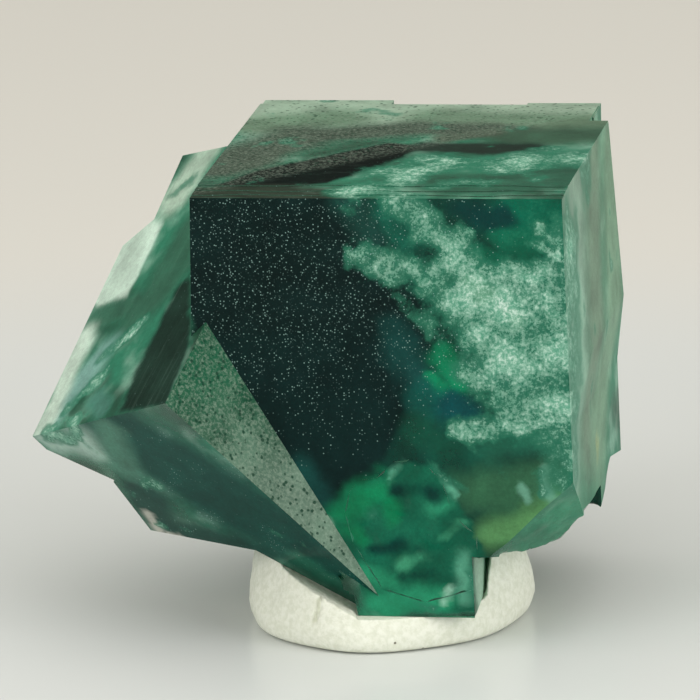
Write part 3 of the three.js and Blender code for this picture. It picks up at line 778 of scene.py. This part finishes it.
def crystal_material():
    s = Shader("green_fluorite")
    at = s.place()
    tone = s.node("ShaderNodeAttribute", attribute_name="tone").outputs
    marks = s.node("ShaderNodeAttribute", attribute_name="marks").outputs
    veil, glint_and_fleck_share, pitted = s.parts(marks["Vector"])
    grain = s.noise(at, *GRAIN_NOISE)
    crumbs = s.centred(grain, 1.0)

    # Growth lines, darker and paler along their run
    growth = s.node("ShaderNodeAttribute", attribute_name="growth").outputs["Vector"]
    lined = s.times(marks["Alpha"], s.centred(s.noise(growth, *LINE_NOISE), 1.0))
    colour = s.mix(tone["Color"], linear(LINE_DARK), s.ease(lined, *LINES_DARKEN))
    colour = s.mix(colour, linear(LINE_PALE), s.ease(lined, *LINES_LIGHTEN))

    # A green haze, milk in it and white crumbs where the veil is thickest
    fine = s.noise(at, *GRIT_NOISE)
    grit = s.add(s.times(crumbs, CRUMBS_IN_GRIT), s.centred(fine, FINE_IN_GRIT))
    lively = s.number("MULTIPLY_ADD", grit, GRIT_SHADES, 1.0)
    colour = s.node("ShaderNodeVectorMath", {0: colour, "Scale": lively}, operation="SCALE").outputs[0]
    haze = s.ease(s.add(veil, s.times(grit, GRIT_IN_HAZE)), *HAZE_RANGE)
    colour = s.mix(colour, linear(HAZE), s.times(haze, HAZE_COVERS))
    milk = s.ease(s.add(veil, s.times(grit, GRIT_IN_MILK)), *MILK_RANGE)
    milky = s.mix(linear(MILK_GREEN), linear(MILK_PALE), s.ease(grit, *MILK_PALES))
    colour = s.mix(colour, milky, s.times(milk, MILK_COVERS))
    white = s.ease(s.add(veil, s.times(grit, GRIT_IN_WHITE)), *WHITE_RANGE)
    colour = s.mix(colour, linear(CRUMB_WHITE), s.times(white, WHITE_COVERS))
    clear = s.fade(s.fade(tone["Alpha"], HAZE_CLEAR, haze), MILK_CLEAR, milk)

    # Fine white specks of uneven brightness: painted glints where tiny pits and particles catch the light,
    # and the white flecks of the twin's lower face
    specks = s.cells(at, SPECK_SIZE)
    pick, bright, _ = s.parts(specks["Color"])
    chosen = s.ease(pick, s.number("SUBTRACT", 1.0, glint_and_fleck_share), s.number("SUBTRACT", 1.0 + GLINTS_THIN, glint_and_fleck_share))
    glints = s.times(s.ease(specks["Distance"], *SPECK_EDGE), chosen)
    glints = s.times(glints, s.ease(bright, *SPECK_BRIGHTNESS))
    colour = s.mix(colour, linear(GLINT_SPECK_GREY), glints)
    clear = s.fade(clear, GLINT_CLEAR, glints)

    # Chalky grain and dark pits of uneven shape on the worn faces; the dark in the pits is painted shade
    holes = s.cells(at, PIT_SIZE)
    depth = s.add(holes["Distance"], s.times(crumbs, PITS_RAGGED))
    picked = s.ease(s.parts(holes["Color"])[0], *PIT_PICK)
    pits = s.times(s.times(s.ease(depth, *PIT_EDGE), pitted), picked)
    chalk = s.times(pitted, s.ease(fine, *CHALK_RANGE))
    colour = s.mix(colour, linear(CHALK), s.times(chalk, CHALK_COVERS))
    colour = s.mix(colour, linear(PIT_SHADE_GREEN), s.times(pits, PIT_SHADE_COVERS))

    marks_raise = s.add(s.times(pits, PITS_RAISE), s.times(lined, LINES_RAISE))
    relief = s.add(s.times(grain, GRAIN_RAISES), marks_raise)
    worn = s.number("MAXIMUM", s.number("MAXIMUM", milk, pitted), s.ease(marks["Alpha"], *LINE_WEAR))
    s.surface({
        "Base Color": colour,
        "Roughness": s.fade(SMOOTH_ROUGHNESS, WORN_ROUGHNESS, worn),
        "IOR": IOR,
        "Specular IOR Level": REFLECTS,
        "Transmission Weight": clear,
        "Normal": s.bump(relief, CRYSTAL_BUMP),
    })
    inside = s.node("ShaderNodeVolumeAbsorption", {"Color": ABSORBS, "Density": ABSORPTION})
    s.tree.links.new(inside.outputs[0], s.output.inputs["Volume"])
    return s.material


def putty_material():
    s = Shader("display_putty")
    at = s.place()
    grain = s.noise(at, *PUTTY_NOISE)
    colour = s.mix(linear(PUTTY_SHADE), linear(PUTTY_LIGHT), s.ease(grain, *PUTTY_GRAIN))
    dots = s.cells(at, DIRT_SPACING)
    chosen = s.ease(s.parts(dots["Color"])[0], *DIRT_PICK)
    dirt = s.times(chosen, s.ease(dots["Distance"], *DIRT_EDGE))
    s.surface({
        "Base Color": s.mix(colour, linear(DIRT), dirt),
        "Roughness": PUTTY_ROUGHNESS,
        "Normal": s.bump(grain, PUTTY_BUMP),
    })
    return s.material


def floor_material():
    s = Shader("studio_floor")
    length = s.node("ShaderNodeVectorMath", {0: s.object_point()}, operation="LENGTH")
    distance = length.outputs["Value"]
    colour = s.mix(linear(FLOOR_NEAR), linear(FLOOR_MIDDLE), s.ease(distance, *NEAR_TO_MIDDLE))
    colour = s.mix(colour, linear(FLOOR_FAR), s.ease(distance, *MIDDLE_TO_FAR))
    s.surface({"Base Color": colour, "Roughness": FLOOR_ROUGHNESS, "Specular IOR Level": FLOOR_REFLECTS})
    return s.material


def row_point(point):
    """A point in millimetres from the large cube's corner, in metres in the row frame."""
    return (Vector(point) + CORNER) * MM


def add_piece(name, mesh, material, node):
    """A detailed piece that stands for a plain solid of the frame."""
    piece = bpy.data.objects.new(name, mesh)
    bpy.context.scene.collection.objects.link(piece)
    piece.data.materials.clear()
    piece.data.materials.append(material)
    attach(piece, "root")
    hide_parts(node)
    return piece


def roughness_at(at, marks):
    """How far a rough surface stands out at a point, from marks of a given height and fineness."""
    return sum(height * noise.noise(at * fineness) for height, fineness in marks)


def mark_broken(shape):
    """Smooth shading on the faces that belong to no large flat: those are the broken surfaces."""
    def key(face):
        level = face.normal.dot(face.verts[0].co) / MM
        return tuple(round(part, 2) for part in face.normal) + (round(level, 1),)

    areas = {}
    for face in shape.faces:
        areas[key(face)] = areas.get(key(face), 0) + face.calc_area() / MM**2
    top = CORNER.z * MM - BROKEN_BELOW * MM
    for face in shape.faces:
        face.smooth = areas[key(face)] < FLAT_AREA and face.calc_center_median().z < top


def longest(edge):
    """The longest an edge may stay: short where the crystal is seen from in front or above."""
    ways = [face.normal for face in edge.link_faces]
    seen = any(way.y < SEEN_FRONT or way.z > SEEN_TOP or way.x > SEEN_RIGHT for way in ways)
    return (SEEN_STEP if seen else HIDDEN_STEP) * MM


def cut_finely(shape):
    """Halves the edges that are too long, round after round."""
    for _ in range(CUT_ROUNDS):
        long_edges = [edge for edge in shape.edges if edge.calc_length() > longest(edge)]
        if not long_edges:
            return
        bmesh.ops.subdivide_edges(shape, edges=long_edges, cuts=1)
        bmesh.ops.triangulate(shape, faces=[face for face in shape.faces if len(face.verts) > 3])


def fill_scar(shape):
    """Makes the hollow in the front of the foot shallower."""
    for vert in shape.verts:
        x, y, z = vert.co / MM - CORNER
        if SCAR_X[0] < x < SCAR_X[1] and SCAR_Z[0] < z < SCAR_Z[1] and 0 < y < SCAR_DEEP:
            vert.co.y -= y * (1 - SCAR_SHALLOW) * MM


def rings_from_rim(shape, inner):
    """How many rings in from the rim of its broken surface each corner lies, up to the full relief."""
    depth = {vert: 0 for vert in shape.verts}
    ring = inner
    while ring:
        for vert in ring:
            depth[vert] += 1
        reached = depth[ring[0]]
        if reached == RELIEF_RINGS:
            break
        ring = [v for v in ring if all(depth[edge.other_vert(v)] >= reached for edge in v.link_edges)]
    return depth


def break_surfaces(shape):
    """Rounds the broken surfaces and gives them hollows and ripples that rise from nothing at the rim."""
    inner = [vert for vert in shape.verts if all(face.smooth for face in vert.link_faces)]
    depth = rings_from_rim(shape, inner)
    deep = [vert for vert in inner if depth[vert] > 1]
    every_way = dict(use_axis_x=True, use_axis_y=True, use_axis_z=True)
    for _ in range(SMOOTH_ROUNDS):
        bmesh.ops.smooth_vert(shape, verts=deep, factor=0.5, **every_way)
    shape.normal_update()
    moved = []
    for vert in inner:
        at = vert.co / MM
        phase = RIPPLE * (at - RIPPLE_ROUND).length + 2 * noise.noise(at * RIPPLE_BENDS)
        ripple = 0.5 + 0.5 * math.sin(phase)
        relief = roughness_at(at, HOLLOWS) + RIPPLE_HEIGHT * ripple - RIPPLE_HEIGHT
        moved.append((vert, vert.normal * relief * (depth[vert] / RELIEF_RINGS) * MM))
    for vert, move in moved:
        vert.co += move


def crystal_mesh():
    """The fluorite solid with its broken surfaces made finer, and painted."""
    shape = bmesh.new()
    shape.from_mesh(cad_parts["fluorite"].data)
    bmesh.ops.remove_doubles(shape, verts=shape.verts, dist=WELD)
    bmesh.ops.dissolve_degenerate(shape, dist=WELD, edges=shape.edges)
    bmesh.ops.triangulate(shape, faces=shape.faces)
    mark_broken(shape)
    cut_finely(shape)
    fill_scar(shape)
    shape.normal_update()
    facing = shape.faces.layers.float_vector.new("facing")
    for face in shape.faces:
        face[facing] = face.normal
    break_surfaces(shape)
    for edge in shape.edges:
        one_kind = len({face.smooth for face in edge.link_faces}) == 1
        edge.smooth = one_kind and edge.calc_face_angle(0) < SHARP
    mesh = bpy.data.meshes.new("fluorite_crystal")
    shape.to_mesh(mesh)
    shape.free()
    mesh.validate()
    paint_crystal(mesh)
    return mesh


def putty_limit():
    """How high the putty may reach under the crystal and in front of it: heights on a grid over the lump."""
    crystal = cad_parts["fluorite"].data
    tree = BVHTree.FromPolygons(
        [vert.co for vert in crystal.vertices], [tuple(face.vertices) for face in crystal.polygons]
    )
    low = np.array(PUTTY_CENTRE) - PUTTY_REACH
    count = int(2 * PUTTY_REACH / LIMIT_STEP)
    heights = np.full((count, count), NO_LIMIT)
    for i in range(count):
        for j in range(count):
            x, y = low + LIMIT_STEP * np.array((i, j))
            hit = tree.ray_cast(row_point((x, y, FLOOR - 1)), Vector((0, 0, 1)))[0]
            if hit is not None:
                heights[i, j] = hit.z / MM - CORNER.z
    swept = heights.copy()
    for step in range(1, int(FRONT_SWEEP / LIMIT_STEP)):
        aside = round(math.tan(CAMERA_TURN) * step)
        shifted = np.full_like(heights, NO_LIMIT)
        shifted[aside:, :-step] = heights[: count - aside, step:]
        swept = np.minimum(swept, shifted)
    wide = np.pad(swept, 1, mode="edge")
    around = [wide[i : i + count, j : j + count] for i in range(3) for j in range(3)]
    return low, np.minimum.reduce(around)


def putty_outline():
    """Evenly spaced radius and height shares along the wall, with its bends rounded off."""
    wall = np.array(PUTTY_WALL, float)
    lengths = np.linalg.norm(np.diff(wall * (PUTTY_RADIUS[0], PUTTY_HEIGHT), axis=0), axis=1)
    run = np.r_[0, np.cumsum(lengths)]
    even = np.linspace(0, run[-1], PUTTY_RINGS)
    outline = np.stack([np.interp(even, run, wall[:, 0]), np.interp(even, run, wall[:, 1])], 1)
    for _ in range(WALL_SOFTENING):
        outline[1:-1] = (outline[:-2] + 2 * outline[1:-1] + outline[2:]) / 4
    return outline


def crack_depth(at):
    """How deep the crack in the putty's front is at a point."""
    top, end = Vector(CRACK[0]), Vector(CRACK[1])
    if at.y >= PUTTY_CENTRE[1] or not end.z < at.z < top.z + 1:
        return 0
    line = end.lerp(top, max(0, min(1, (at.z - end.z) / (top.z - end.z))))
    wander = CRACK_WANDER * noise.noise(Vector((0, 0, at.z * CRACK_BENDS)))
    return CRACK_DEPTH * max(0, 1 - abs(at.x - line.x + wander) / CRACK_WIDTH)


def putty_point(radius, height, around, low, limit):
    """A point of the lump's skin, in the row frame."""
    x, y = radius * math.cos(around), radius * math.sin(around)
    swell = 1 + BROAD_SWELL * math.sin(3 * around + 1) + FINE_SWELL * math.sin(7 * around + 5 * height)
    slump = 1 + SLUMP * math.sin(5 * around) * radius
    at = Vector((
        PUTTY_CENTRE[0] + PUTTY_RADIUS[0] * x * swell,
        PUTTY_CENTRE[1] + PUTTY_RADIUS[1] * y * swell + PUTTY_SLANT * height,
        FLOOR + PUTTY_HEIGHT * height * slump,
    ))
    dent = RIDGES * math.sin(9 * at.x + 11 * at.z + 2 * noise.noise(at * 0.5))
    dent += roughness_at(at, THUMB_MARKS)
    dent -= crack_depth(at)
    at += Vector((math.cos(around), math.sin(around), 0)) * dent * min(1, height * MARKS_RISE)
    i, j = [int(round((value - start) / LIMIT_STEP)) for value, start in zip(at.to_2d(), low)]
    at.z = min(at.z, limit[i, j] - CONTACT)
    return row_point(at)


def putty_mesh():
    """The lump, pressed up against the crystal, with thumb marks, a crack and faint ridges."""
    low, limit = putty_limit()
    walls = putty_outline()[1:-1]
    turns = [2 * math.pi * turn / PUTTY_ROUND for turn in range(PUTTY_ROUND)]
    points = [putty_point(*wall, around, low, limit) for wall in walls for around in turns]
    faces = []
    for ring in range(len(walls) - 1):
        a, b = ring * PUTTY_ROUND, (ring + 1) * PUTTY_ROUND
        for turn in range(PUTTY_ROUND):
            nxt = (turn + 1) % PUTTY_ROUND
            faces.append((a + turn, a + nxt, b + nxt, b + turn))
    faces.append(tuple(reversed(range(PUTTY_ROUND))))
    faces.append(tuple(range((len(walls) - 1) * PUTTY_ROUND, len(walls) * PUTTY_ROUND)))
    mesh = bpy.data.meshes.new("putty_lump")
    mesh.from_pydata(points, [], faces)
    mesh.shade_smooth()
    return mesh


def add_camera():
    turn = Matrix.Rotation(-CAMERA_TURN, 3, "Z")
    level, drop = math.cos(CAMERA_TILT), math.sin(CAMERA_TILT)
    tilt = Matrix(((1, 0, 0), (0, -drop, -level), (0, level, -drop)))
    roll = Matrix.Rotation(-CAMERA_ROLL, 3, "Z")
    right, down, forward = roll @ tilt @ turn
    camera = bpy.data.objects.new("camera", bpy.data.cameras.new("camera"))
    camera.data.sensor_width = SENSOR
    camera.data.lens = LENS
    camera.data.clip_start, camera.data.clip_end = CAMERA_CLIP
    place = Matrix((right, -down, -forward)).transposed().to_4x4()
    place.translation = CAMERA_AT
    camera.matrix_world = place
    bpy.context.scene.collection.objects.link(camera)
    bpy.context.scene.camera = camera


def add_light(name, at, size, power):
    data = bpy.data.lights.new(name, "AREA")
    data.shape = "RECTANGLE"
    data.size = size
    data.size_y = size
    data.energy = power
    light = bpy.data.objects.new(name, data)
    light.location = at
    light.rotation_mode = "QUATERNION"
    light.rotation_quaternion = (LIGHT_AIM - Vector(at)).to_track_quat("-Z", "Y")
    bpy.context.scene.collection.objects.link(light)


def add_sky():
    """Light from all round, faint near the horizon and strong overhead."""
    world = bpy.data.worlds.new("studio")
    world.use_nodes = True
    tree = world.node_tree
    background = tree.nodes["Background"]
    split = tree.nodes.new("ShaderNodeSeparateXYZ")
    rise = tree.nodes.new("ShaderNodeMapRange")
    rise.inputs["From Min"].default_value, rise.inputs["From Max"].default_value = SKY_RISE
    rise.inputs["To Min"].default_value, rise.inputs["To Max"].default_value = SKY_STRENGTH
    tree.links.new(tree.nodes.new("ShaderNodeTexCoord").outputs["Generated"], split.inputs[0])
    tree.links.new(split.outputs["Z"], rise.inputs["Value"])
    tree.links.new(rise.outputs[0], background.inputs["Strength"])
    background.inputs["Color"].default_value = linear(SKY)
    bpy.context.scene.world = world


def add_floor():
    bpy.ops.mesh.primitive_circle_add(
        vertices=FLOOR_CORNERS, radius=FLOOR_RADIUS, fill_type="NGON", location=(0, 0, 0)
    )
    floor = bpy.context.object
    floor.name = "studio_floor"
    floor.data.materials.append(floor_material())


add_camera()
add_floor()
add_sky()
for name, at, size, power in LIGHTS:
    add_light(name, at, size, power)
add_piece("fluorite_crystal", crystal_mesh(), crystal_material(), "fluorite")
add_piece("putty_lump", putty_mesh(), putty_material(), "putty_base")

bpy.context.scene.view_settings.view_transform = "Standard"
bpy.context.scene.cycles.max_bounces = MOST_BOUNCES
bpy.context.scene.cycles.transmission_bounces = CLEAR_BOUNCES
